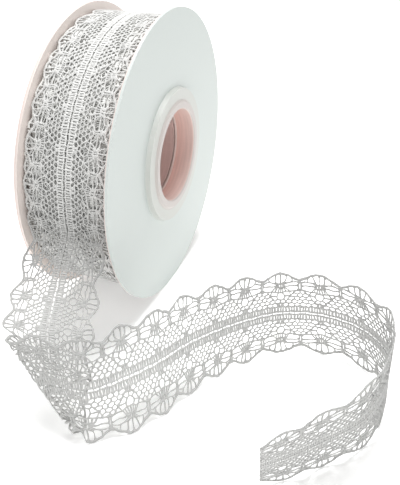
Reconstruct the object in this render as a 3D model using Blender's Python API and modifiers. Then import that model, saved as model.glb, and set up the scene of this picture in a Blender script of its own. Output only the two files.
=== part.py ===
"""Roll of lace trim on a two-part plastic spool, with its loose end standing on its edge in front.

Metres, +Z up. The spool stands upright on the rims of its two flanges and its axis runs along X, with the
near flange at +X and the loose end at -Y. The model's origin is the middle of its footprint on the surface.
The tables below are in millimetres, measured from the point on the surface under the near flange's outer face.
"""
import math

import bmesh
import bpy
import numpy as np

MM = 0.001
ORIGIN = (19.25, -16.58, 0.0)      # middle of the footprint in the tables' frame, mm

# Spool
FLANGE_R = 40.0
FLAT_SPOT = 0.2                    # depth of the small flat under each rim
AXIS_Z = FLANGE_R - FLAT_SPOT
FLANGE_T = 0.8
SPOOL_W = 24.8                     # outer face to outer face, without the bosses
BORE_R = 12.75
INNER_BORE_R = 12.2                # behind the step inside the bore
STEP_X = -4.2                      # end of the near half's sleeve, seen inside the bore
BOSS_R = 18.8
BOSS_H = 1.3
LIP_H = 1.8
LIP_R = 15.2
SLEEVE_R = 14.4
SOCKET_R = 14.9
HUB_R = 19.0
TURNS = 96

# Lace
LACE_W = 22.6
SCALLOP = 1.8                      # depth of a scallop
SCALLOPS = 24                      # scallops in the outer turn
ROLL_R = 36.8
PITCH = 2 * math.pi * ROLL_R / SCALLOPS
GAP = 0.3
SHEET_T = 1.0
ROLL_MID_X = -SPOOL_W / 2
FIRST_TIP = 24.0                   # distance along the loose end to its first free scallop tip

# Straight lines across the loose end, from its near edge to its far edge, in the order in which it leaves
# the roll, folds over and stands round on its near edge to the cut end.
RULINGS = (
    # name, scallop tips since the first one if one is there, near x, y, z, far x, y, z
    ("on the roll", None, -1.1, -36.9, 47.6, -23.7, -36.9, 47.6),
    ("on the roll 2", None, -1.1, -37.6, 43.1, -23.7, -37.6, 43.1),
    ("front of the roll", None, -1.1, -37.7, 38.5, -23.7, -37.7, 38.5),
    ("on the roll 3", None, -1.1, -37.5, 34.5, -23.7, -37.5, 34.5),
    ("leaves the roll", None, -1.1, -37.1, 30.7, -23.7, -37.0, 30.5),
    ("past the rims", 0, -1.4, -39.6, 26.2, -23.7, -40.6, 22.9),
    ("slope", 1, 0.6, -46.4, 19.6, -21.8, -49.2, 18.8),
    ("before the fold", 2, 3.3, -54.0, 17.2, -18.2, -58.0, 17.4),
    ("fold behind", None, 6.0, -66.6, 0.9, -12.7, -63.3, 19.1),
    ("fold edge", None, 5.9, -68.1, 1.2, -12.8, -64.8, 19.4),
    ("fold in front", None, 7.0, -68.0, 2.1, -11.7, -64.7, 20.5),
    ("stands", 5, 8.1, -67.1, 0.25, 2.9, -61.6, 21.5),
    ("stands 2", 6, 15.7, -60.5, 0.25, 7.4, -50.2, 18.8),
    ("stands 3", 7, 19.8, -52.9, 0.25, 12.4, -42.4, 18.9),
    ("stands 4", 8, 22.9, -44.5, 0.25, 17.2, -36.7, 20.6),
    ("stands 5", 9, 26.7, -36.6, 0.25, 23.3, -32.4, 22.3),
    ("back left", 10, 31.4, -29.6, 0.25, 29.2, -26.6, 22.5),
    ("back", 11, 38.3, -22.2, 0.25, 36.7, -21.6, 22.7),
    ("back right", 12, 48.0, -18.8, 0.25, 45.4, -18.9, 22.7),
    ("right", 13, 58.5, -20.8, 0.25, 55.2, -20.6, 22.6),
    ("turn", 14, 64.0, -27.9, 0.25, 62.6, -27.3, 22.7),
    ("turn 2", 15, 64.1, -37.5, 0.25, 64.6, -37.5, 22.8),
    ("turn 3", 16, 61.4, -46.4, 0.25, 60.9, -53.4, 21.6),
    ("free end", 17, 54.6, -54.4, 0.25, 54.5, -62.8, 21.1),
    ("free end 2", 18, 48.1, -60.8, 0.25, 48.6, -70.3, 20.6),
    ("cut", 18.5, 44.0, -63.4, 0.25, 45.9, -73.7, 20.2),
)


def material(name, rgb, roughness):
    m = bpy.data.materials.new(name)
    m.use_nodes = True
    b = m.node_tree.nodes["Principled BSDF"]
    b.inputs["Base Color"].default_value = (*rgb, 1)
    b.inputs["Roughness"].default_value = roughness
    b.inputs["Metallic"].default_value = 0.0
    m.diffuse_color = (*rgb, 1)
    return m


def add_object(name, verts, faces, rgb=None, roughness=0.6):
    mesh = bpy.data.meshes.new(name)
    mesh.from_pydata([tuple(v) for v in verts], [], faces)
    ob = bpy.data.objects.new(name, mesh)
    bpy.context.scene.collection.objects.link(ob)
    if rgb:
        mesh.materials.append(material(name, rgb, roughness))
    return ob


def face_out(ob):
    bm = bmesh.new()
    bm.from_mesh(ob.data)
    bmesh.ops.recalc_face_normals(bm, faces=bm.faces)
    bm.to_mesh(ob.data)
    bm.free()


def apply_modifiers(ob):
    mesh = bpy.data.meshes.new_from_object(ob.evaluated_get(bpy.context.evaluated_depsgraph_get()))
    ob.modifiers.clear()
    ob.data = mesh


def placed(x, y, z):
    return ((x - ORIGIN[0]) * MM, (y - ORIGIN[1]) * MM, (z - ORIGIN[2]) * MM)


def turned(name, profile, rgb, roughness):
    """A body turned about the spool's axis from (x, radius) points, with the small flat under its rim."""
    pts = [(radius * MM, 0, x * MM) for x, radius in profile]
    mesh = bpy.data.meshes.new(name)
    mesh.from_pydata(pts, [(i, (i + 1) % len(pts)) for i in range(len(pts))], [])
    ob = bpy.data.objects.new(name, mesh)
    bpy.context.scene.collection.objects.link(ob)
    screw = ob.modifiers.new("turn", "SCREW")
    screw.axis = "Z"
    screw.angle = 2 * math.pi
    screw.steps = screw.render_steps = TURNS
    screw.use_merge_vertices = True
    screw.merge_threshold = 0.00001
    apply_modifiers(ob)
    for v in ob.data.vertices:      # turn the body's axis from Z to X and put it at its place
        x, y, z = v.co
        v.co = placed(z / MM, -y / MM, AXIS_Z + x / MM)
    face_out(ob)
    bpy.ops.mesh.primitive_cube_add(size=1, location=placed(ROLL_MID_X, 0, -5))
    cutter = bpy.context.object
    cutter.name = name + "_flat_cutter"
    cutter.scale = (60 * MM, 60 * MM, 10 * MM)
    cutter.hide_render = True
    cutter.display_type = "WIRE"
    cut = ob.modifiers.new("flat", "BOOLEAN")
    cut.operation = "DIFFERENCE"
    cut.solver = "EXACT"
    cut.object = cutter
    bpy.context.view_layer.update()
    apply_modifiers(ob)
    bpy.data.objects.remove(cutter)
    ob.data.materials.clear()
    ob.data.materials.append(material(name, rgb, roughness))
    for p in ob.data.polygons:
        p.material_index = 0
    return ob


def inset(s):
    """How far the scalloped edge lies inside the tips at the distance s along the lace."""
    return SCALLOP * (1 - (0.5 + 0.5 * np.cos(2 * np.pi * s / PITCH)) ** 0.75)


def ribbon():
    """The rulings joined smoothly: near and far points, and the flat distance along each edge."""
    rows = np.array([row[2:] for row in RULINGS])
    near, far = rows[:, :3], rows[:, 3:]
    chord = (np.linalg.norm(np.diff(near, axis=0), axis=1) + np.linalg.norm(np.diff(far, axis=0), axis=1)) / 2
    u = np.concatenate([[0], np.cumsum(chord)])
    step = np.diff(u)[:, None]
    slope = np.diff(rows, axis=0) / step
    tangent = np.vstack([slope[:1], (slope[:-1] * step[1:] + slope[1:] * step[:-1]) / (step[:-1] + step[1:]),
                         slope[-1:]])
    fine = np.linspace(0, u[-1], 2001)
    i = np.clip(np.searchsorted(u, fine, side="right") - 1, 0, len(u) - 2)
    h = step[i]
    f = ((fine - u[i])[:, None]) / h
    line = ((2 * f**3 - 3 * f**2 + 1) * rows[i] + (f**3 - 2 * f**2 + f) * h * tangent[i]
            + (3 * f**2 - 2 * f**3) * rows[i + 1] + (f**3 - f**2) * h * tangent[i + 1])
    near, far = line[:, :3], line[:, 3:]
    known = [(0.0, 0.0)] + [(u[i], FIRST_TIP + row[1] * PITCH) for i, row in enumerate(RULINGS) if row[1] is not None]
    known_u, known_s = zip(*known)
    flat = []
    for edge in (near, far):
        along = np.concatenate([[0], np.cumsum(np.linalg.norm(np.diff(edge, axis=0), axis=1))])
        flat.append(np.interp(along, np.interp(known_u, fine, along), known_s))
    return fine, u, near, far, *flat


def loose_end():
    """The loose end as one sheet of even thickness that follows the rulings, scalloped on both edges."""
    fine, rows_u, near, far, s_near, s_far = ribbon()
    stations = [0.0]
    for a, b in zip(rows_u[:-1], rows_u[1:]):
        n = max(4, round((b - a) / (PITCH / 6)))
        stations += [a + (b - a) * k / n for k in range(1, n + 1)]
    at = lambda values, u: np.stack([np.interp(u, fine, c) for c in values.T], 1)
    u = np.array(stations)
    p0, p1 = at(near, u), at(far, u)
    v0 = inset(np.interp(u, fine, s_near) - FIRST_TIP) / LACE_W
    v1 = 1 - inset(np.interp(u, fine, s_far) - FIRST_TIP) / LACE_W
    across = 6
    mid = np.array([p0 + (p1 - p0) * (v0 + (v1 - v0) * k / across)[:, None] for k in range(across + 1)])
    normal = np.cross(np.gradient(mid, axis=1), np.gradient(mid, axis=0))
    normal /= np.linalg.norm(normal, axis=2)[:, :, None]
    sides = [mid + normal * SHEET_T / 2, mid - normal * SHEET_T / 2]
    for side in sides:
        side[:, :, 2] = np.maximum(side[:, :, 2], 0)
    n = len(u)
    index = lambda side, k, j: (side * (across + 1) + k) * n + j
    verts = [placed(*p) for side in sides for row in side for p in row]
    faces = []
    for j in range(n - 1):
        for k in range(across):
            faces.append((index(0, k, j), index(0, k, j + 1), index(0, k + 1, j + 1), index(0, k + 1, j)))
            faces.append((index(1, k, j), index(1, k + 1, j), index(1, k + 1, j + 1), index(1, k, j + 1)))
        for k in (0, across):
            faces.append((index(0, k, j), index(1, k, j), index(1, k, j + 1), index(0, k, j + 1)))
    for k in range(across):
        for j in (0, n - 1):
            faces.append((index(0, k, j), index(0, k + 1, j), index(1, k + 1, j), index(1, k, j)))
    ob = add_object("lace_tail", verts, faces, (0.79, 0.79, 0.77), 0.8)
    face_out(ob)
    return ob


def wound_lace():
    """The wound lace as one ring between the flanges, with the scallops of its turns round both sides."""
    inner = HUB_R + GAP
    half = LACE_W / 2
    # radius, side (+1 near, -1 far, 0 middle), turn of the scallops there in scallops
    section = [(ROLL_R, -1, 0.0), (ROLL_R, -0.5, 0.0), (ROLL_R, 0.5, 0.0), (ROLL_R, 1, 0.0),
               (31.0, 1, 0.35), (25.0, 1, 0.7), (inner, 1, 0.1),
               (inner, -1, 0.1), (25.0, -1, 0.7), (31.0, -1, 0.35)]
    around = 6 * SCALLOPS
    verts = []
    for j in range(around):
        turn = 2 * math.pi * j / around
        for radius, side, shift in section:
            edge = half - float(inset((SCALLOPS * turn / (2 * math.pi) + shift) * PITCH))
            verts.append(placed(ROLL_MID_X + side * edge, -radius * math.cos(turn), AXIS_Z + radius * math.sin(turn)))
    n = len(section)
    faces = [(j * n + i, j * n + (i + 1) % n, ((j + 1) % around) * n + (i + 1) % n, ((j + 1) % around) * n + i)
             for j in range(around) for i in range(n)]
    ob = add_object("lace_roll", verts, faces, (0.68, 0.68, 0.67), 0.85)
    face_out(ob)
    return ob


def main():
    for ob in list(bpy.data.objects):
        bpy.data.objects.remove(ob)
    far_x = -SPOOL_W
    hub_end = -FLANGE_T - GAP
    turned("spool_near", [
        (0, FLANGE_R), (0, BOSS_R), (BOSS_H, BOSS_R - 0.4), (BOSS_H, LIP_R), (LIP_H, LIP_R - 0.5),
        (LIP_H, BORE_R + 0.4), (LIP_H - 0.4, BORE_R), (STEP_X, BORE_R), (STEP_X, SLEEVE_R),
        (-FLANGE_T, SLEEVE_R), (-FLANGE_T, FLANGE_R)], (0.72, 0.77, 0.73), 0.45)
    turned("spool_far", [
        (far_x + FLANGE_T, FLANGE_R), (far_x + FLANGE_T, HUB_R), (hub_end, HUB_R), (hub_end, SOCKET_R),
        (STEP_X - GAP, SOCKET_R), (STEP_X - GAP, INNER_BORE_R), (far_x - LIP_H + 0.4, INNER_BORE_R),
        (far_x - LIP_H, INNER_BORE_R + 0.4), (far_x - LIP_H, LIP_R - 0.5), (far_x - BOSS_H, LIP_R),
        (far_x - BOSS_H, BOSS_R - 0.4), (far_x, BOSS_R), (far_x, FLANGE_R)], (0.83, 0.62, 0.58), 0.45)
    wound_lace()
    loose_end()


main()
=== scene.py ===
"""Looks for the roll of lace trim: the lace in the round, the wound turns, and the spool's plastic."""
import math

import bmesh
import bpy
import numpy as np
from mathutils import Matrix, Vector
from mathutils.geometry import delaunay_2d_cdt

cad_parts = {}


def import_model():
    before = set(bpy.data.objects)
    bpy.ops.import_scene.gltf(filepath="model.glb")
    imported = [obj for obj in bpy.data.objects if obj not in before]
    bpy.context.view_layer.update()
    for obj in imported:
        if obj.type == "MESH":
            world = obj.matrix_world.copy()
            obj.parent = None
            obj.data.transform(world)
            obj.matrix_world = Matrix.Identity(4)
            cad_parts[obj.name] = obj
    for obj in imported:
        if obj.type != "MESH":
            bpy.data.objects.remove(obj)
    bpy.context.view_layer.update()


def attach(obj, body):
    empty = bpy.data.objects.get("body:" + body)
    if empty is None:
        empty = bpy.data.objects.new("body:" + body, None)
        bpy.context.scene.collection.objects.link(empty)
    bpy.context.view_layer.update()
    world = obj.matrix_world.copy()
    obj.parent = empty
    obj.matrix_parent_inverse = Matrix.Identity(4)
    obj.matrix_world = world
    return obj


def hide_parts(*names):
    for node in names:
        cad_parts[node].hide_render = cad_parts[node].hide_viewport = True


MM = 0.001
ORIGIN = (19.25, -16.58, 0.0)      # middle of the footprint in the tables' frame, mm

# Spool, in mm, as in the solids. x is 0 on the near outer face and falls towards the far one.
AXIS_Z = 39.8
SPOOL_W = 24.8
BOSS_R = 18.8
LIP_R = 15.2
LIP_H = 1.8
BORE_R = 12.75
STEP_X = -4.35                     # the joint between the halves, inside the bore
HUB_R = 19.0
ROLL_MID_X = -SPOOL_W / 2

# Lace, in mm
LACE_W = 22.6
NEAR_EDGE_X = -1.1                 # the wound lace's scallop tips by the near flange
SCALLOP = 1.8                      # depth of a scallop
SCALLOPS = 24                      # scallops round the roll
SCALLOP_POINTS = 15                # points along the edge of one
ROLL_R = 36.8
PITCH = 2 * math.pi * ROLL_R / SCALLOPS
FIRST_TIP = 24.0                   # from the loose end's start to its first free scallop tip
YARN = 0.24                        # thickness of the lace
THREAD = 0.27                      # width of its threads
START_TURN = math.radians(12)      # where the loose end's table starts, above the roll's front
START_R = 37.7                     # radius of the outer turn there
TURN_LENGTH = 2 * math.pi * START_R
TURN_STEP = 0.32                   # how much nearer the axis each turn lies than the one over it
TUCK = 8.0                         # how far the strip runs on under the start of its own outer turn
TURN_GAP = 2                       # how much each turn under the outer one is cut short of once round

RULINGS = (
    # name, scallop tips since the first one if one is there, near x, y, z, far x, y, z
    ("on the roll", None, -1.1, -36.9, 47.6, -23.7, -36.9, 47.6),
    ("on the roll 2", None, -1.1, -37.6, 43.1, -23.7, -37.6, 43.1),
    ("front of the roll", None, -1.1, -37.7, 38.5, -23.7, -37.7, 38.5),
    ("on the roll 3", None, -1.1, -37.5, 34.5, -23.7, -37.5, 34.5),
    ("leaves the roll", None, -1.1, -37.1, 30.7, -23.7, -37.0, 30.5),
    ("past the rims", 0, -1.4, -39.6, 26.2, -23.7, -40.6, 22.9),
    ("slope", 1, 0.6, -46.4, 19.6, -21.8, -49.2, 18.8),
    ("before the fold", 2, 3.3, -54.0, 17.2, -18.2, -58.0, 17.4),
    ("fold behind", None, 6.0, -66.6, 0.9, -12.7, -63.3, 19.1),
    ("fold edge", None, 5.9, -68.1, 1.2, -12.8, -64.8, 19.4),
    ("fold in front", None, 7.0, -68.0, 2.1, -11.7, -64.7, 20.5),
    ("stands", 5, 8.1, -67.1, 0.25, 2.9, -61.6, 21.5),
    ("stands 2", 6, 15.7, -60.5, 0.25, 7.4, -50.2, 18.8),
    ("stands 3", 7, 19.8, -52.9, 0.25, 12.4, -42.4, 18.9),
    ("stands 4", 8, 22.9, -44.5, 0.25, 17.2, -36.7, 20.6),
    ("stands 5", 9, 26.7, -36.6, 0.25, 23.3, -32.4, 22.3),
    ("back left", 10, 31.4, -29.6, 0.25, 29.2, -26.6, 22.5),
    ("back", 11, 38.3, -22.2, 0.25, 36.7, -21.6, 22.7),
    ("back right", 12, 48.0, -18.8, 0.25, 45.4, -18.9, 22.7),
    ("right", 13, 58.5, -20.8, 0.25, 55.2, -20.6, 22.6),
    ("turn", 14, 64.0, -27.9, 0.25, 62.6, -27.3, 22.7),
    ("turn 2", 15, 64.1, -37.5, 0.25, 64.6, -37.5, 22.8),
    ("turn 3", 16, 61.4, -46.4, 0.25, 60.9, -53.4, 21.6),
    ("free end", 17, 54.6, -54.4, 0.25, 54.5, -62.8, 21.1),
    ("free end 2", 18, 48.1, -60.8, 0.25, 48.6, -70.3, 20.6),
    ("cut", 18.5, 44.0, -63.4, 0.25, 45.9, -73.7, 20.2),
)

# Windows of a quarter of a repeat, in mm, as the middle lines of the threads round them: x from the flower's
# spine, y from the lace's centre line. Each is mirrored in both, but the diamond lies across the spine.
WINDOWS = (
    ("top window", ((0, 10.85), (0.75, 10.83), (1.45, 10.62), (1.30, 9.3), (0.95, 8.55), (0.35, 8.25),
                    (0, 8.25))),
    ("shoulder window", ((1.45, 10.62), (2.25, 10.28), (2.95, 9.84), (2.9, 8.75), (1.75, 8.45), (0.95, 8.55),
                         (1.30, 9.3))),
    ("corner window", ((2.95, 9.84), (3.7, 9.36), (4.5, 9.05), (4.5, 8.45), (3.6, 8.75), (2.9, 8.75))),
    ("arc window", ((0.85, 8.0), (1.75, 8.45), (2.9, 8.75), (3.6, 8.75), (4.5, 8.45), (4.5, 7.75), (3.2, 7.6),
                    (1.7, 7.6), (0.85, 7.65))),
    ("side window", ((0.95, 7.55), (1.7, 7.6), (3.2, 7.6), (4.5, 7.75), (4.5, 6.5), (3.2, 6.2), (2.1, 6.05),
                     (1.75, 6.6), (1.3, 7.1))),
    ("inner petal gap", ((0, 6.9), (0.45, 6.95), (0.6, 5.8), (0, 5.75))),
    ("middle petal gap", ((0.45, 6.95), (0.85, 7.2), (1.35, 6.0), (0.6, 5.8))),
    ("outer petal gap", ((0.85, 7.2), (1.3, 7.1), (1.75, 6.6), (2.1, 6.05), (1.35, 6.0))),
    ("diamond", ((-0.6, 5.8), (0, 5.75), (0.6, 5.8), (1.1, 4.8), (0.7, 3.95), (0, 3.7), (-0.7, 3.95),
                 (-1.1, 4.8))),
    ("beside the diamond", ((0.6, 5.8), (1.35, 6.0), (2.1, 6.05), (2.62, 5.0), (1.1, 4.8))),
    ("below it", ((1.1, 4.8), (2.62, 5.0), (1.98, 4.11), (1.42, 3.42), (0.7, 3.95))),
    ("above the net", ((2.62, 5.0), (2.1, 6.05), (3.2, 6.2), (3.36, 5.8))),
    ("foot window", ((0, 3.7), (0.7, 3.95), (1.42, 3.42), (1.0, 2.88), (0, 2.88))),
)
SLITS = (
    # name, x, half width, low y, high y
    ("close stitch in the middle", 0.0, 0.10, 2.05, 2.7),
    ("left slit in the flower's knot", -0.30, 0.09, 7.25, 7.95),
    ("right slit in the flower's knot", 0.30, 0.09, 7.25, 7.95),
    ("slit in the bar between two flowers", PITCH / 2, 0.11, 6.75, 8.2),
)
NET_ROWS = (
    # y, holes, half width, half height
    (2.33, 6, 0.55, 0.47),
    (3.22, 5, 0.55, 0.47),
    (4.11, 4, 0.55, 0.47),
    (5.00, 3, 0.55, 0.46),
    (5.82, 2, 0.53, 0.41),
)
NET_COLUMNS = 7
NET_PITCH = PITCH / NET_COLUMNS
NET_SHOULDER = 0.45                # height of a net hole's upright sides, as a share of the hole's
RIB_SLIT = (0.12, 0.6, 1.6)        # half width, low y and high y of the slits in the two bands by the middle
LINE_HOLE = (0.61, -0.23, 0.23)    # the same of the holes of the open line along the middle
MANY_CORNERS = 6                   # windows with more corners than this are softened

SAME = 0.0001                      # corners of the flat pattern closer than this are one
HAIR = 0.001                       # a place this near the line between two repeats is on it
WELD = 0.002                       # repeats are joined where their threads are closer than this
ON_CUT = 0.003                     # a point nearer than this to a cut lies on it, so no sliver is left

# Waves that keep the laid lace from looking stamped: mm of sway, radians per mm along and across, and phase
SWAY_ALONG = ((0.10, 2.3, 1.1, 0.0), (0.07, 0.9, -2.2, 1.0))
SWAY_ACROSS = ((0.08, 1.7, 1.9, 0.0), (0.06, 3.4, -0.8, 0.0))
SWAY_ENDS = 4                      # the sway along the lace fades out over this before its cut end

# Steps of the table that finds the ruling through a point of the loose end
WIDTH_STEPS = 32
LENGTH_STEPS = 1600

CORE_RINGS = 9                     # groups of turns in the wound turns, each with scallops of its own
CORE_SLACK = (0.3, 0.25, 0.1)      # left free at the hub, under the laid turns and at the scallop tips


def linear(hex_colour):
    """An sRGB hex colour as linear RGBA."""
    values = [int(hex_colour[i:i + 2], 16) / 255 for i in (1, 3, 5)]
    return tuple(v / 12.92 if v <= 0.04045 else ((v + 0.055) / 1.055) ** 2.4 for v in values) + (1.0,)


def placed(points):
    """Points in the tables' frame, mm, as the scene's own, in metres."""
    return (np.asarray(points) - np.array(ORIGIN)) * MM


def new_material(name, colour, roughness, **settings):
    """A material, its tree and its shader, with the shader's own sockets set."""
    m = bpy.data.materials.new(name)
    m.use_nodes = True
    b = m.node_tree.nodes["Principled BSDF"]
    b.inputs["Base Color"].default_value = linear(colour)
    b.inputs["Roughness"].default_value = roughness
    for key, value in settings.items():
        b.inputs[key.replace("_", " ")].default_value = value
    return m, m.node_tree, b


def node(tree, kind, inputs=None, **settings):
    """Adds a node with its properties. An input gets a value or a link, a node being its first output."""
    n = tree.nodes.new(kind)
    for key, value in settings.items():
        setattr(n, key, value)
    for key, value in (inputs or {}).items():
        if isinstance(value, bpy.types.Node):
            value = value.outputs[0]
        if isinstance(value, bpy.types.NodeSocket):
            tree.links.new(value, n.inputs[key])
        else:
            n.inputs[key].default_value = value
    return n


def darkened(tree, colour, tone):
    """The colour times a grey tone."""
    grey = node(tree, "ShaderNodeCombineColor", {0: tone, 1: tone, 2: tone})
    return node(tree, "ShaderNodeMix", {0: 1.0, 6: colour, 7: grey}, data_type="RGBA",
                blend_type="MULTIPLY").outputs[2]


def from_axis(tree):
    """The place on the piece, and its distance from the spool's axis, both in metres."""
    place = node(tree, "ShaderNodeTexCoord").outputs["Object"]
    centre = tuple(placed((ROLL_MID_X, 0, AXIS_Z)))
    from_centre = node(tree, "ShaderNodeVectorMath", {0: place, 1: centre}, operation="SUBTRACT")
    off_axis = node(tree, "ShaderNodeVectorMath", {0: from_centre, 1: (0, 1, 1)}, operation="MULTIPLY")
    return place, node(tree, "ShaderNodeVectorMath", {0: off_axis}, operation="LENGTH").outputs["Value"]


def lace_yarn(name, colour, shade):
    """Bleached lace yarn, machine-made: matte and soft, with a faint sheen. shade is the tone of its grooves.

    Close ribs fill the two bands by the middle, and twisted strands run along the other threads. Real ribs
    lie about 0.3 mm apart and real strands about 0.15 mm. Both are drawn coarser, so that they show.
    The grooves between them are painted darker, down to the tone shade, as painted shade.
    """
    rib, strand, twist = 0.50, 0.34, 1.1           # mm between ribs, between strands, and in one twist
    m, tree, b = new_material(name, colour, 0.78, Sheen_Weight=0.25, Sheen_Roughness=0.5,
                              Sheen_Tint=linear("#ffffff"), IOR=1.5)
    uv = node(tree, "ShaderNodeUVMap", uv_map="lace")
    place = node(tree, "ShaderNodeSeparateXYZ", {0: uv})
    s, t = place.outputs[0], place.outputs[1]      # millimetres along and across the lace
    # the ribbed bands end 1.9 to 2.3 mm from the middle, and the scalloped edge begins at 8.6 to 10.2 mm
    away = node(tree, "ShaderNodeMath", {0: t}, operation="ABSOLUTE")
    in_band = node(tree, "ShaderNodeMapRange",
                   {"Value": away, "From Min": 1.9, "From Max": 2.3, "To Min": 1.0, "To Max": 0.0},
                   interpolation_type="SMOOTHSTEP")
    at_edge = node(tree, "ShaderNodeMapRange", {"Value": away, "From Min": 8.6, "From Max": 10.2},
                   interpolation_type="SMOOTHSTEP")
    wobble = node(tree, "ShaderNodeTexNoise", {"Vector": uv, "Scale": 0.9, "Detail": 2.0})
    fuzz = node(tree, "ShaderNodeTexNoise", {"Vector": uv, "Scale": 5.0, "Detail": 3.0, "Roughness": 0.7})
    # ribs across the lace, then strands twisted along it, each straying with the wobble by so many radians
    waves = []
    for runs, stray in ((((s, rib),), 9.0), (((s, twist), (t, strand)), 16.0)):
        phase = node(tree, "ShaderNodeMath", {0: wobble, 1: stray}, operation="MULTIPLY")
        for way, pitch in runs:
            phase = node(tree, "ShaderNodeMath", {0: way, 1: 2 * math.pi / pitch, 2: phase},
                         operation="MULTIPLY_ADD")
        wave = node(tree, "ShaderNodeMath", {0: phase}, operation="SINE")
        waves.append(node(tree, "ShaderNodeMath", {0: wave, 1: 0.5, 2: 0.5}, operation="MULTIPLY_ADD"))
    ribs, strands = waves
    ribs = node(tree, "ShaderNodeMath", {0: ribs, 1: 0.6}, operation="POWER")
    thread = node(tree, "ShaderNodeMix", {0: in_band, 2: strands, 3: ribs}, data_type="FLOAT")
    height = node(tree, "ShaderNodeMath", {0: fuzz, 1: 0.5, 2: thread}, operation="MULTIPLY_ADD")
    # painted shade: the grooves are darkened with their depth, down to the tone shade
    tone = node(tree, "ShaderNodeMapRange",
                {"Value": height, "From Min": 0.15, "From Max": 1.15, "To Min": shade, "To Max": 1.0})
    edge_tone = node(tree, "ShaderNodeMath", {0: at_edge, 1: -0.06, 2: 1.0}, operation="MULTIPLY_ADD")
    # painted shade: the lace greys over the first 20 mm that leave the roll, and the loose end stays as grey
    # to its cut
    loose_end_painted_shade = node(tree, "ShaderNodeMapRange",
                      {"Value": s, "From Min": 0.0, "From Max": 20.0, "To Min": 1.0, "To Max": 0.72})
    for greyer in (edge_tone, loose_end_painted_shade):
        tone = node(tree, "ShaderNodeMath", {0: tone, 1: greyer}, operation="MULTIPLY")
    bump = node(tree, "ShaderNodeBump", {"Height": height, "Strength": 0.55, "Distance": 0.12 * MM})
    tree.links.new(darkened(tree, linear(colour), tone), b.inputs["Base Color"])
    tree.links.new(bump.outputs[0], b.inputs["Normal"])
    return m


def wound_yarn():
    """The same yarn in the turns under the lace: grey in their own shade, their edges as fine rings.

    A real turn is about 0.3 mm thick. The rings are drawn at 0.45 mm, so that they show.
    """
    ring = 0.45 * MM
    m, tree, b = new_material("wound lace turns", "#a5a5a2", 0.9)
    place, radius = from_axis(tree)
    wobble = node(tree, "ShaderNodeTexNoise", {"Vector": place, "Scale": 260.0, "Detail": 3.0})
    stray = node(tree, "ShaderNodeMath", {0: wobble, 1: 7.0}, operation="MULTIPLY")
    phase = node(tree, "ShaderNodeMath", {0: radius, 1: 2 * math.pi / ring, 2: stray},
                 operation="MULTIPLY_ADD")
    rings = node(tree, "ShaderNodeMath", {0: phase}, operation="SINE")
    knots = node(tree, "ShaderNodeTexVoronoi", {"Vector": place, "Scale": 700.0}).outputs["Distance"]
    height = node(tree, "ShaderNodeMath", {0: rings, 1: 0.35, 2: knots}, operation="MULTIPLY_ADD")
    # painted shade: the colour is darkened where the rings and knots lie low, down to three quarters
    tone = node(tree, "ShaderNodeMapRange",
                {"Value": height, "From Min": -0.2, "From Max": 0.9, "To Min": 0.75, "To Max": 1.0})
    bump = node(tree, "ShaderNodeBump", {"Height": height, "Strength": 0.6, "Distance": 0.3 * MM})
    tree.links.new(darkened(tree, linear("#efefeb"), tone), b.inputs["Base Color"])
    tree.links.new(bump.outputs[0], b.inputs["Normal"])
    return m


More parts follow.
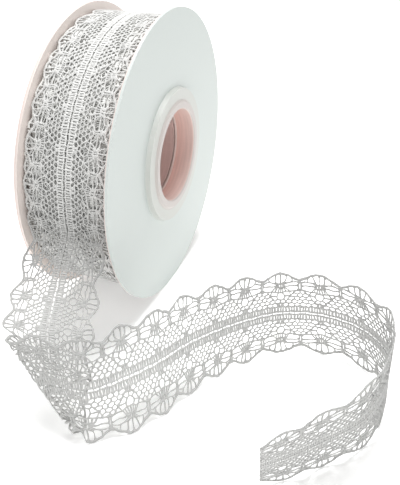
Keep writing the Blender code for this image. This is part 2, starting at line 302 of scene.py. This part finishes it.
def spool_plastic(name, face, boss, lip, hidden, mouth, bore, outer_x, side):
    """Moulded polystyrene: satin pink, with a whiter outer face, boss and lip, and faint rings in the bore.

    The bore is painted darker inwards as shade, and a pale band round the joint between the halves is a
    painted highlight on its step. outer_x is the outer face's place along the axis and side its direction.
    """
    m, tree, b = new_material(name, hidden, 0.42, IOR=1.5)
    place, radius = from_axis(tree)
    x = node(tree, "ShaderNodeSeparateXYZ", {0: place})
    from_face = node(tree, "ShaderNodeMath", {0: x, 1: outer_x}, operation="SUBTRACT")
    depth = node(tree, "ShaderNodeMath", {0: from_face, 1: side}, operation="MULTIPLY")
    past_step = node(tree, "ShaderNodeMath", {0: depth, 1: STEP_X * MM}, operation="SUBTRACT")
    from_step = node(tree, "ShaderNodeMath", {0: past_step}, operation="ABSOLUTE")
    # for each zone: what is measured, how far its colour is pure and where it ends, in mm, and its colour
    outer_zones = ((radius, BOSS_R - 0.1, BOSS_R + 0.05, boss),
                   (radius, LIP_R - 0.1, LIP_R + 0.5, lip),
                   (depth, -0.75, -0.5, hidden))
    # painted shade: the bore is painted darker and pinker from its mouth in to the step; then a painted
    # highlight, a pale band at the step
    bore_zones = ((depth, STEP_X, LIP_H, bore),
                  (from_step, 0.60, 0.75, "#fff0ea"))
    skins = []
    for skin, zones in ((linear(face), outer_zones), (linear(mouth), bore_zones)):
        for measure, pure, end, colour in zones:
            share = node(tree, "ShaderNodeMapRange",
                         {"Value": measure, "From Min": pure * MM, "From Max": end * MM})
            skin = node(tree, "ShaderNodeMix", {0: share, 6: linear(colour), 7: skin},
                        data_type="RGBA").outputs[2]
        skins.append(skin)
    outer_skin, bore_skin = skins
    # mould rings 0.7 mm apart along the axis, 11 mm long round it
    stretched = node(tree, "ShaderNodeVectorMath", {0: place, 1: (1500.0, 90.0, 90.0)}, operation="MULTIPLY")
    streaks = node(tree, "ShaderNodeTexNoise", {"Vector": stretched, "Scale": 1.0, "Detail": 3.0})
    tone = node(tree, "ShaderNodeMapRange",
                {"Value": streaks, "From Min": 0.35, "From Max": 0.65, "To Min": 0.9, "To Max": 1.0})
    off_bore = node(tree, "ShaderNodeMapRange",
                    {"Value": radius, "From Min": (BORE_R + 0.02) * MM, "From Max": (BORE_R + 0.2) * MM})
    skin = node(tree, "ShaderNodeMix", {0: off_bore, 6: darkened(tree, bore_skin, tone), 7: outer_skin},
                data_type="RGBA")
    # the mould's own grain, about 1 mm
    grain = node(tree, "ShaderNodeTexNoise", {"Vector": place, "Scale": 900.0, "Detail": 2.0})
    rough = node(tree, "ShaderNodeMapRange", {"Value": grain, "To Min": 0.36, "To Max": 0.5})
    bump = node(tree, "ShaderNodeBump", {"Height": grain, "Strength": 0.08, "Distance": 0.05 * MM})
    tree.links.new(skin.outputs[2], b.inputs["Base Color"])
    tree.links.new(rough.outputs[0], b.inputs["Roughness"])
    tree.links.new(bump.outputs[0], b.inputs["Normal"])
    return m


def inset(s):
    """How far the scalloped edge lies inside the tips, s from a tip."""
    return SCALLOP * (1 - (0.5 + 0.5 * np.cos(2 * np.pi * s / PITCH)) ** 0.75)


def softened(polygon):
    """The polygon with each corner cut once, a quarter of the way along its sides."""
    out = []
    for (x0, y0), (x1, y1) in zip(polygon, polygon[1:] + polygon[:1]):
        out += [(x0 * (1 - part) + x1 * part, y0 * (1 - part) + y1 * part) for part in (0.25, 0.75)]
    return out


def narrowed(polygon, distance):
    """The polygon with every side moved inwards by the same distance."""
    area = sum(x0 * y1 - x1 * y0 for (x0, y0), (x1, y1) in zip(polygon, polygon[1:] + polygon[:1]))
    out = []
    for i, (x, y) in enumerate(polygon):
        normals = []
        for (x0, y0), (x1, y1) in ((polygon[i - 1], (x, y)), ((x, y), polygon[(i + 1) % len(polygon)])):
            run = math.hypot(x1 - x0, y1 - y0) * math.copysign(1, area)
            normals.append((-(y1 - y0) / run, (x1 - x0) / run))
        (ax, ay), (bx, by) = normals
        share = distance / (1 + ax * bx + ay * by)
        out.append((x + (ax + bx) * share, y + (ay + by) * share))
    return out


def slit(x, half_width, low, high, side=1):
    """A straight slit across the lace, on one side of its centre line or over it."""
    return [(x - half_width, side * low), (x + half_width, side * low),
            (x + half_width, side * high), (x - half_width, side * high)]


def cell_outline():
    """The outline of one repeat, flat, with its flower's spine at x = 0."""
    g = NET_PITCH / 2
    # the line between two repeats follows the threads of the net and the bar in the valley
    border = [(0.0, 0.0), (0.0, 2.05), (0.0, 2.62), (g, 2.93), (g, 3.51), (0.0, 3.82), (0.0, 4.40), (g, 4.71),
              (g, 5.27), (0.0, 5.56), (0.0, 6.2), (0.25, 6.5), (0.25, 8.5), (0.0, 8.7)]
    scallop = [(x, LACE_W / 2 - float(inset(x))) for x in np.linspace(-PITCH / 2, PITCH / 2, SCALLOP_POINTS)]
    right = [(PITCH / 2 + x, y) for x, y in border] + [scallop[-1]]
    left = [(x - PITCH, y) for x, y in right]
    top = scallop[-2:0:-1]
    return ([(x, -y) for x, y in reversed(right[1:])] + right + top + list(reversed(left))
            + [(x, -y) for x, y in left[1:]] + [(x, -y) for x, y in reversed(top)])


def cell_holes():
    """The holes of one repeat, as polygons."""
    holes = []
    for side in (1, -1):
        for name, polygon in WINDOWS:
            hole = narrowed(list(polygon), THREAD / 2)
            if len(hole) > MANY_CORNERS:
                hole = softened(hole)
            holes.append([(x, side * y) for x, y in hole])
            if name != "diamond":
                holes.append([(-x, side * y) for x, y in hole])
        for _, x, half_width, low, high in SLITS:
            holes.append(slit(x, half_width, low, high, side))
        for y, count, a, b in NET_ROWS:
            for k in range(count):
                x = (k - (count - 1) / 2) * NET_PITCH + PITCH / 2
                # a hole past the line between two repeats is the next one's
                if x > PITCH / 2 + 0.01 + NET_PITCH / 2 * (count % 2):
                    x -= PITCH
                shoulder = b * NET_SHOULDER
                hexagon = [(0, b), (-a, shoulder), (-a, -shoulder), (0, -b), (a, -shoulder), (a, shoulder)]
                holes.append([(x + px, side * y + py) for px, py in hexagon])
        for k in range(2 * NET_COLUMNS):
            holes.append(slit(-PITCH / 2 + (k + 0.5) * (NET_PITCH / 2), *RIB_SLIT, side))
    for k in range(NET_COLUMNS):
        holes.append(slit(-PITCH / 2 + (k + 0.5) * NET_PITCH, *LINE_HOLE))
    return holes


def inside(polygon, x, y):
    """Whether the point lies in the polygon: a ray from it crosses an odd number of sides."""
    odd = False
    j = len(polygon) - 1
    for i, (xi, yi) in enumerate(polygon):
        xj, yj = polygon[j]
        if (yi > y) != (yj > y) and x < (xj - xi) * (y - yi) / (yj - yi) + xi:
            odd = not odd
        j = i
    return odd


def seam_edges(outline):
    """The outline's edges that meet the next repeat, both ways round, to three digits."""
    seam = set()
    for a, b in zip(outline, outline[1:] + outline[:1]):
        on_right = all(x > PITCH / 2 - HAIR for x, _ in (a, b))
        on_left = all(x < -PITCH / 2 + NET_PITCH / 2 + HAIR and abs(y) < LACE_W / 2 - SCALLOP + HAIR
                      for x, y in (a, b))
        if on_right or on_left:
            a, b = [(round(x, 3), round(y, 3)) for x, y in (a, b)]
            seam |= {(a, b), (b, a)}
    return seam


def cell_mesh():
    """The repeat as a thin body, open where it meets the next repeat."""
    outline, holes = cell_outline(), cell_holes()
    points, loops = [], []
    for loop in [outline] + holes:
        loops.append(list(range(len(points), len(points) + len(loop))))
        points += loop
    edges = [(loop[i - 1], loop[i]) for loop in loops for i in range(len(loop))]
    verts, _, tris, _, _, _ = delaunay_2d_cdt([Vector(p) for p in points], edges, [], 0, SAME)
    bm = bmesh.new()
    front = [bm.verts.new((v.x, v.y, YARN / 2)) for v in verts]
    back = [bm.verts.new((v.x, v.y, -YARN / 2)) for v in verts]
    for tri in tris:
        x = sum(verts[i].x for i in tri) / len(tri)
        y = sum(verts[i].y for i in tri) / len(tri)
        if not inside(outline, x, y) or any(inside(h, x, y) for h in holes):
            continue
        area = sum(verts[tri[k - 1]].cross(verts[tri[k]]) for k in range(3))
        tri = list(tri) if area > 0 else list(reversed(tri))
        bm.faces.new([front[i] for i in tri])
        bm.faces.new([back[i] for i in reversed(tri)])
    seam = seam_edges(outline)
    number = {v: i for i, v in enumerate(front)}
    for e in [e for e in bm.edges if e.is_boundary and e.verts[0] in number]:
        if tuple((round(v.co.x, 3), round(v.co.y, 3)) for v in e.verts) in seam:
            continue
        loop = e.link_loops[0]
        a, b = loop.vert, loop.link_loop_next.vert
        bm.faces.new((b, a, back[number[a]], back[number[b]]))
    bmesh.ops.delete(bm, geom=[v for v in bm.verts if not v.link_faces], context="VERTS")
    mesh = bpy.data.meshes.new("lace_repeat")
    bm.to_mesh(mesh)
    bm.free()
    return mesh


def repeat_tree():
    """Geometry Nodes: repeats the mesh along X and joins the repeats where they meet."""
    tree = bpy.data.node_groups.new("repeat_along", "GeometryNodeTree")
    for name, way, kind in (("Geometry", "INPUT", "Geometry"), ("Repeats", "INPUT", "Int"),
                            ("Pitch", "INPUT", "Float"), ("Start", "INPUT", "Float"),
                            ("Material", "INPUT", "Material"), ("Geometry", "OUTPUT", "Geometry")):
        tree.interface.new_socket(name, in_out=way, socket_type="NodeSocket" + kind)
    given = node(tree, "NodeGroupInput").outputs
    step = node(tree, "ShaderNodeCombineXYZ", {"X": given["Pitch"]})
    start = node(tree, "ShaderNodeCombineXYZ", {"X": given["Start"]})
    line = node(tree, "GeometryNodeMeshLine", {"Count": given["Repeats"], "Start Location": start,
                                               "Offset": step})
    copies = node(tree, "GeometryNodeInstanceOnPoints", {"Points": line, "Instance": given["Geometry"]})
    real = node(tree, "GeometryNodeRealizeInstances", {0: copies})
    joined = node(tree, "GeometryNodeMergeByDistance", {"Geometry": real, "Distance": WELD})
    done = node(tree, "GeometryNodeSetMaterial", {"Geometry": joined, "Material": given["Material"]})
    node(tree, "NodeGroupOutput", {0: done})
    return tree


def lace_strip(name, cell, tree, start, end, yarn):
    """Flat lace from start to end (mm along it, scallop tips at FIRST_TIP), cut straight at both ends."""
    ob = bpy.data.objects.new(name, cell.copy())
    bpy.context.scene.collection.objects.link(ob)
    first = math.floor((start - FIRST_TIP) / PITCH) - 1
    last = math.ceil((end - FIRST_TIP) / PITCH) + 1
    mod = ob.modifiers.new("repeat", "NODES")
    mod.node_group = tree
    values = {"Repeats": last - first + 1, "Pitch": PITCH, "Start": FIRST_TIP + first * PITCH,
              "Material": yarn}
    for item in tree.interface.items_tree:
        if item.in_out == "INPUT" and item.name in values:
            mod[item.identifier] = values[item.name]
    mesh = bpy.data.meshes.new_from_object(ob.evaluated_get(bpy.context.evaluated_depsgraph_get()))
    ob.modifiers.clear()
    ob.data = mesh
    mesh.name = name
    bm = bmesh.new()
    bm.from_mesh(mesh)
    for at, sign in ((start, -1), (end, 1)):
        bmesh.ops.bisect_plane(bm, geom=bm.verts[:] + bm.edges[:] + bm.faces[:], dist=ON_CUT,
                               plane_co=(at, 0, 0), plane_no=(sign, 0, 0), clear_outer=True)
    bmesh.ops.holes_fill(bm, edges=[e for e in bm.edges if e.is_boundary], sides=0)
    bmesh.ops.triangulate(bm, faces=[f for f in bm.faces if len(f.verts) > 4])
    bm.to_mesh(mesh)
    bm.free()
    return ob


def write_lace_uv(mesh, flat):
    """The UV map "lace": millimetres along and across the flat lace."""
    uv = mesh.uv_layers.new(name="lace")
    corner = np.empty(len(mesh.loops), dtype=np.int32)
    mesh.loops.foreach_get("vertex_index", corner)
    uv.data.foreach_set("uv", flat[corner][:, :2].astype(np.float32).ravel())


def ribbon():
    """The rulings joined smoothly: near and far points, and the flat distance along each edge."""
    rows = np.array([row[2:] for row in RULINGS])
    near, far = rows[:, :3], rows[:, 3:]
    chord = (np.linalg.norm(np.diff(near, axis=0), axis=1) + np.linalg.norm(np.diff(far, axis=0), axis=1)) / 2
    u = np.concatenate([[0], np.cumsum(chord)])
    step = np.diff(u)[:, None]
    slope = np.diff(rows, axis=0) / step
    tangent = np.vstack([slope[:1], (slope[:-1] * step[1:] + slope[1:] * step[:-1]) / (step[:-1] + step[1:]),
                         slope[-1:]])
    fine = np.linspace(0, u[-1], 2001)             # every 0.1 mm
    i = np.clip(np.searchsorted(u, fine, side="right") - 1, 0, len(u) - 2)
    h = step[i]
    f = ((fine - u[i])[:, None]) / h
    line = ((2 * f**3 - 3 * f**2 + 1) * rows[i] + (f**3 - 2 * f**2 + f) * h * tangent[i]
            + (3 * f**2 - 2 * f**3) * rows[i + 1] + (f**3 - f**2) * h * tangent[i + 1])
    near, far = line[:, :3], line[:, 3:]
    # the flat distance is known at the start and at each scallop tip
    known = [(0.0, 0.0)] + [(u[i], FIRST_TIP + row[1] * PITCH) for i, row in enumerate(RULINGS)
                            if row[1] is not None]
    known_u, known_s = zip(*known)
    flat = []
    for edge in (near, far):
        along = np.concatenate([[0], np.cumsum(np.linalg.norm(np.diff(edge, axis=0), axis=1))])
        flat.append(np.interp(along, np.interp(known_u, fine, along), known_s))
    return near, far, *flat


NEAR, FAR, S_NEAR, S_FAR = ribbon()
LENGTH = float(S_NEAR[-1])


def on_ruling(s, v):
    """Points of the loose end at distance s along it and share v of its width from the near edge."""
    levels = np.linspace(0, 1, WIDTH_STEPS + 1)
    grid = np.linspace(0, LENGTH, LENGTH_STEPS + 1)
    u = np.arange(len(NEAR), dtype=float)
    table = np.array([np.interp(grid, (1 - k) * S_NEAR + k * S_FAR, u) for k in levels])
    a = np.clip(v, 0, 1) * WIDTH_STEPS
    b = np.clip(s, 0, LENGTH) / LENGTH * LENGTH_STEPS
    i = np.minimum(a.astype(int), WIDTH_STEPS - 1)
    j = np.minimum(b.astype(int), LENGTH_STEPS - 1)
    fa, fb = a - i, b - j
    at = ((table[i, j] * (1 - fb) + table[i, j + 1] * fb) * (1 - fa)
          + (table[i + 1, j] * (1 - fb) + table[i + 1, j + 1] * fb) * fa)
    near = np.stack([np.interp(at, u, c) for c in NEAR.T], 1)
    far = np.stack([np.interp(at, u, c) for c in FAR.T], 1)
    return near * (1 - v[:, None]) + far * v[:, None]


def on_roll(s, v):
    """Points on the wound turns that lead to the loose end: s is 0 at its start and negative before it."""
    turn = START_TURN - s / START_R
    radius = START_R - TURN_STEP * (turn - START_TURN) / (2 * math.pi)
    return np.stack([NEAR_EDGE_X - LACE_W * v, -radius * np.cos(turn), AXIS_Z + radius * np.sin(turn)], 1)


def on_strip(s, v):
    """Points of the long strip: wound before s = 0, and on the rulings after it."""
    return np.where((s > 0)[:, None], on_ruling(np.maximum(s, 0), v), on_roll(s, v))


def lay(ob, where):
    """Bends the flat lace: its width lies across the rulings, and its thickness to both sides of them."""
    mesh = ob.data
    flat = np.empty(len(mesh.vertices) * 3)
    mesh.vertices.foreach_get("co", flat)
    flat = flat.reshape(-1, 3)
    write_lace_uv(mesh, flat)
    s, t = flat[:, 0], flat[:, 1]
    along, across = (sum(sway * np.sin(a * s + b * t + phase) for sway, a, b, phase in waves)
                     for waves in (SWAY_ALONG, SWAY_ACROSS))
    along *= np.clip((LENGTH - s) / SWAY_ENDS, 0, 1)
    v = 0.5 - (t + across) / LACE_W
    s = s + along
    # the normal, from points a little further along and across
    ds, dv = 0.05, 0.01
    ahead = where(s + ds, v) - where(s - ds, v)
    aside = where(s, np.minimum(v + dv, 1)) - where(s, np.maximum(v - dv, 0))
    normal = np.cross(aside, ahead)
    normal /= np.maximum(np.linalg.norm(normal, axis=1), 1e-9)[:, None]
    co = where(s, v) + normal * flat[:, 2:3]
    mesh.vertices.foreach_set("co", placed(co).astype(np.float32).ravel())
    for p in mesh.polygons:
        p.use_smooth = True
    mesh.update()
    return ob


def under_turn(turns, name, cell, tree, yarn, along, aside):
    """One turn with so many turns over it, moved a little so that its holes don't line up with theirs."""
    start = -(turns + 1) * TURN_LENGTH - TUCK + turns
    end = -turns * TURN_LENGTH - TUCK + turns - TURN_GAP
    return lay(lace_strip(name, cell, tree, start, end, yarn),
               lambda s, v: on_roll(s + along, v + aside / LACE_W))


def wound_core(yarn):
    """The wound turns as one ring between the flanges: each group of turns has its own scallops."""
    at_hub, at_top, at_tips = CORE_SLACK
    inner, outer = HUB_R + at_hub, ROLL_R - at_top
    half = LACE_W / 2 - at_tips
    # radius, side and the shift of the scallops, in pitches, down one side and up the other
    section = [(outer + (inner - outer) * k / CORE_RINGS, 1, 0.37 * k % 1) for k in range(CORE_RINGS + 1)]
    section += [(r, -1, (shift + 0.2) % 1) for r, _, shift in reversed(section)]
    around = 8 * SCALLOPS              # eight points to a scallop
    bm = bmesh.new()
    loops = []
    for radius, side, shift in section:
        ring = []
        for j in range(around):
            turn = 2 * math.pi * j / around
            edge = half - float(inset((SCALLOPS * turn / (2 * math.pi) + shift) * PITCH))
            ring.append(bm.verts.new(placed((ROLL_MID_X + side * edge, -radius * math.cos(turn),
                                             AXIS_Z + radius * math.sin(turn)))))
        loops.append(ring)
    for a, b in zip(loops, loops[1:] + loops[:1]):
        for j in range(around):
            k = (j + 1) % around
            bm.faces.new((a[j], a[k], b[k], b[j])).smooth = True
    bmesh.ops.recalc_face_normals(bm, faces=bm.faces)
    mesh = bpy.data.meshes.new("wound_turns")
    bm.to_mesh(mesh)
    bm.free()
    ob = bpy.data.objects.new("wound_turns", mesh)
    mesh.materials.append(yarn)
    bpy.context.scene.collection.objects.link(ob)
    return ob


def stage():
    """A white surface and surround, and two soft lights, one from the front and a stronger one from above."""
    # white card: matte, with a little light of its own, which keeps it as white as a lit backdrop
    sweep, _, _ = new_material("matte white sweep", "#fbfbfa", 0.9, Emission_Strength=0.3)
    bm = bmesh.new()
    bmesh.ops.create_grid(bm, x_segments=2, y_segments=2, size=3.0)
    mesh = bpy.data.meshes.new("floor")
    bm.to_mesh(mesh)
    bm.free()
    floor = bpy.data.objects.new("floor", mesh)
    mesh.materials.append(sweep)
    bpy.context.scene.collection.objects.link(floor)
    world = bpy.data.worlds.new("studio")
    bpy.context.scene.world = world
    world.use_nodes = True
    background = world.node_tree.nodes["Background"]
    background.inputs["Color"].default_value = (1, 1, 1, 1)
    background.inputs["Strength"].default_value = 0.38
    target = Vector((0, 0, 0.03))
    lights = (
        # name, place in metres, size in metres, power in watts
        ("key", (0.22, -0.6, 0.5), 0.5, 0.9),
        ("top", (-0.05, 0.1, 0.8), 0.4, 6.6),
    )
    for name, place, size, power in lights:
        light = bpy.data.lights.new(name, "AREA")
        light.size = size
        light.energy = power
        ob = bpy.data.objects.new(name, light)
        ob.location = place
        ob.rotation_euler = (target - Vector(place)).to_track_quat("-Z", "Y").to_euler()
        bpy.context.scene.collection.objects.link(ob)


def camera():
    """Low view from the near flange's front, framed as the photograph is, with the axis above its middle."""
    azimuth, pitch = math.radians(22.4), math.radians(21.7)
    eye = placed((65.7, -164.8, 111.5))
    width, height = 400, 485           # of the photograph, in pixels
    focal = 690.7
    axis_x, axis_y = 165, 150          # where the optical axis meets it, from its top left corner
    cam = bpy.data.cameras.new("camera")
    cam.sensor_width = 36
    cam.lens = cam.sensor_width * focal / height
    cam.shift_x = (width / 2 - axis_x) / height
    cam.shift_y = (axis_y - height / 2) / height
    cam.clip_start = 0.01
    ob = bpy.data.objects.new("camera", cam)
    ob.matrix_world = (Matrix.Translation(eye) @ Matrix.Rotation(azimuth, 4, "Z")
                       @ Matrix.Rotation(math.pi / 2 - pitch, 4, "X"))
    bpy.context.scene.collection.objects.link(ob)
    bpy.context.scene.camera = ob


def wind_lace():
    """The loose end with its outer turn, two turns under it, and the wound turns as one ring."""
    white = lace_yarn("white lace yarn", "#ececea", 0.72)
    # painted light: the two turns under the outer one are the same yarn, painted lighter and with paler
    # grooves, against the shade they lie in
    shaded = lace_yarn("under-turn lace yarn, painted lighter", "#f8f8f5", 0.84)
    deep = lace_yarn("second under-turn lace yarn, painted lighter", "#f8f8f5", 0.84)
    tree, cell = repeat_tree(), cell_mesh()
    strip = lay(lace_strip("lace_strip", cell, tree, -TURN_LENGTH - TUCK, LENGTH, white), on_strip)
    first = under_turn(1, "lace_under_turn", cell, tree, shaded, along=0.6, aside=0.2)
    second = under_turn(2, "lace_under_turn_2", cell, tree, deep, along=0.1, aside=-0.2)
    core = wound_core(wound_yarn())
    for piece, slot in ((strip, "loose_lace"), (first, "wound_lace"), (second, "wound_lace"),
                        (core, "wound_lace")):
        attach(piece, "root")
    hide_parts("lace_tail")
    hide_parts("lace_roll")


def dress_spool():
    """The plastic of the two halves: the near one with its white face, the far one pink all over."""
    near_x, far_x = (float(placed((x, 0, 0))[0]) for x in (0, -SPOOL_W))
    near = spool_plastic("white-faced pink plastic", face="#d7dedb", boss="#d6d8d3", lip="#d2cbc7",
                         hidden="#eeddd8", mouth="#ead4cd", bore="#f0c8be", outer_x=near_x, side=1.0)
    # the far half is one pink plastic: its inner face is painted lighter, as painted light, and its bore
    # darker, as painted shade
    far = spool_plastic("pink plastic", face="#eedfd9", boss="#eedfd9", lip="#eedfd9",
                        hidden="#fff4ee", mouth="#d2b9b4", bore="#d2b9b4", outer_x=far_x, side=-1.0)
    for name, plastic in (("spool_near", near), ("spool_far", far)):
        bpy.data.objects[name].material_slots[0].material = plastic


def main():
    bpy.context.scene.view_settings.view_transform = "Standard"
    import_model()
    camera()
    stage()
    wind_lace()
    dress_spool()


main()
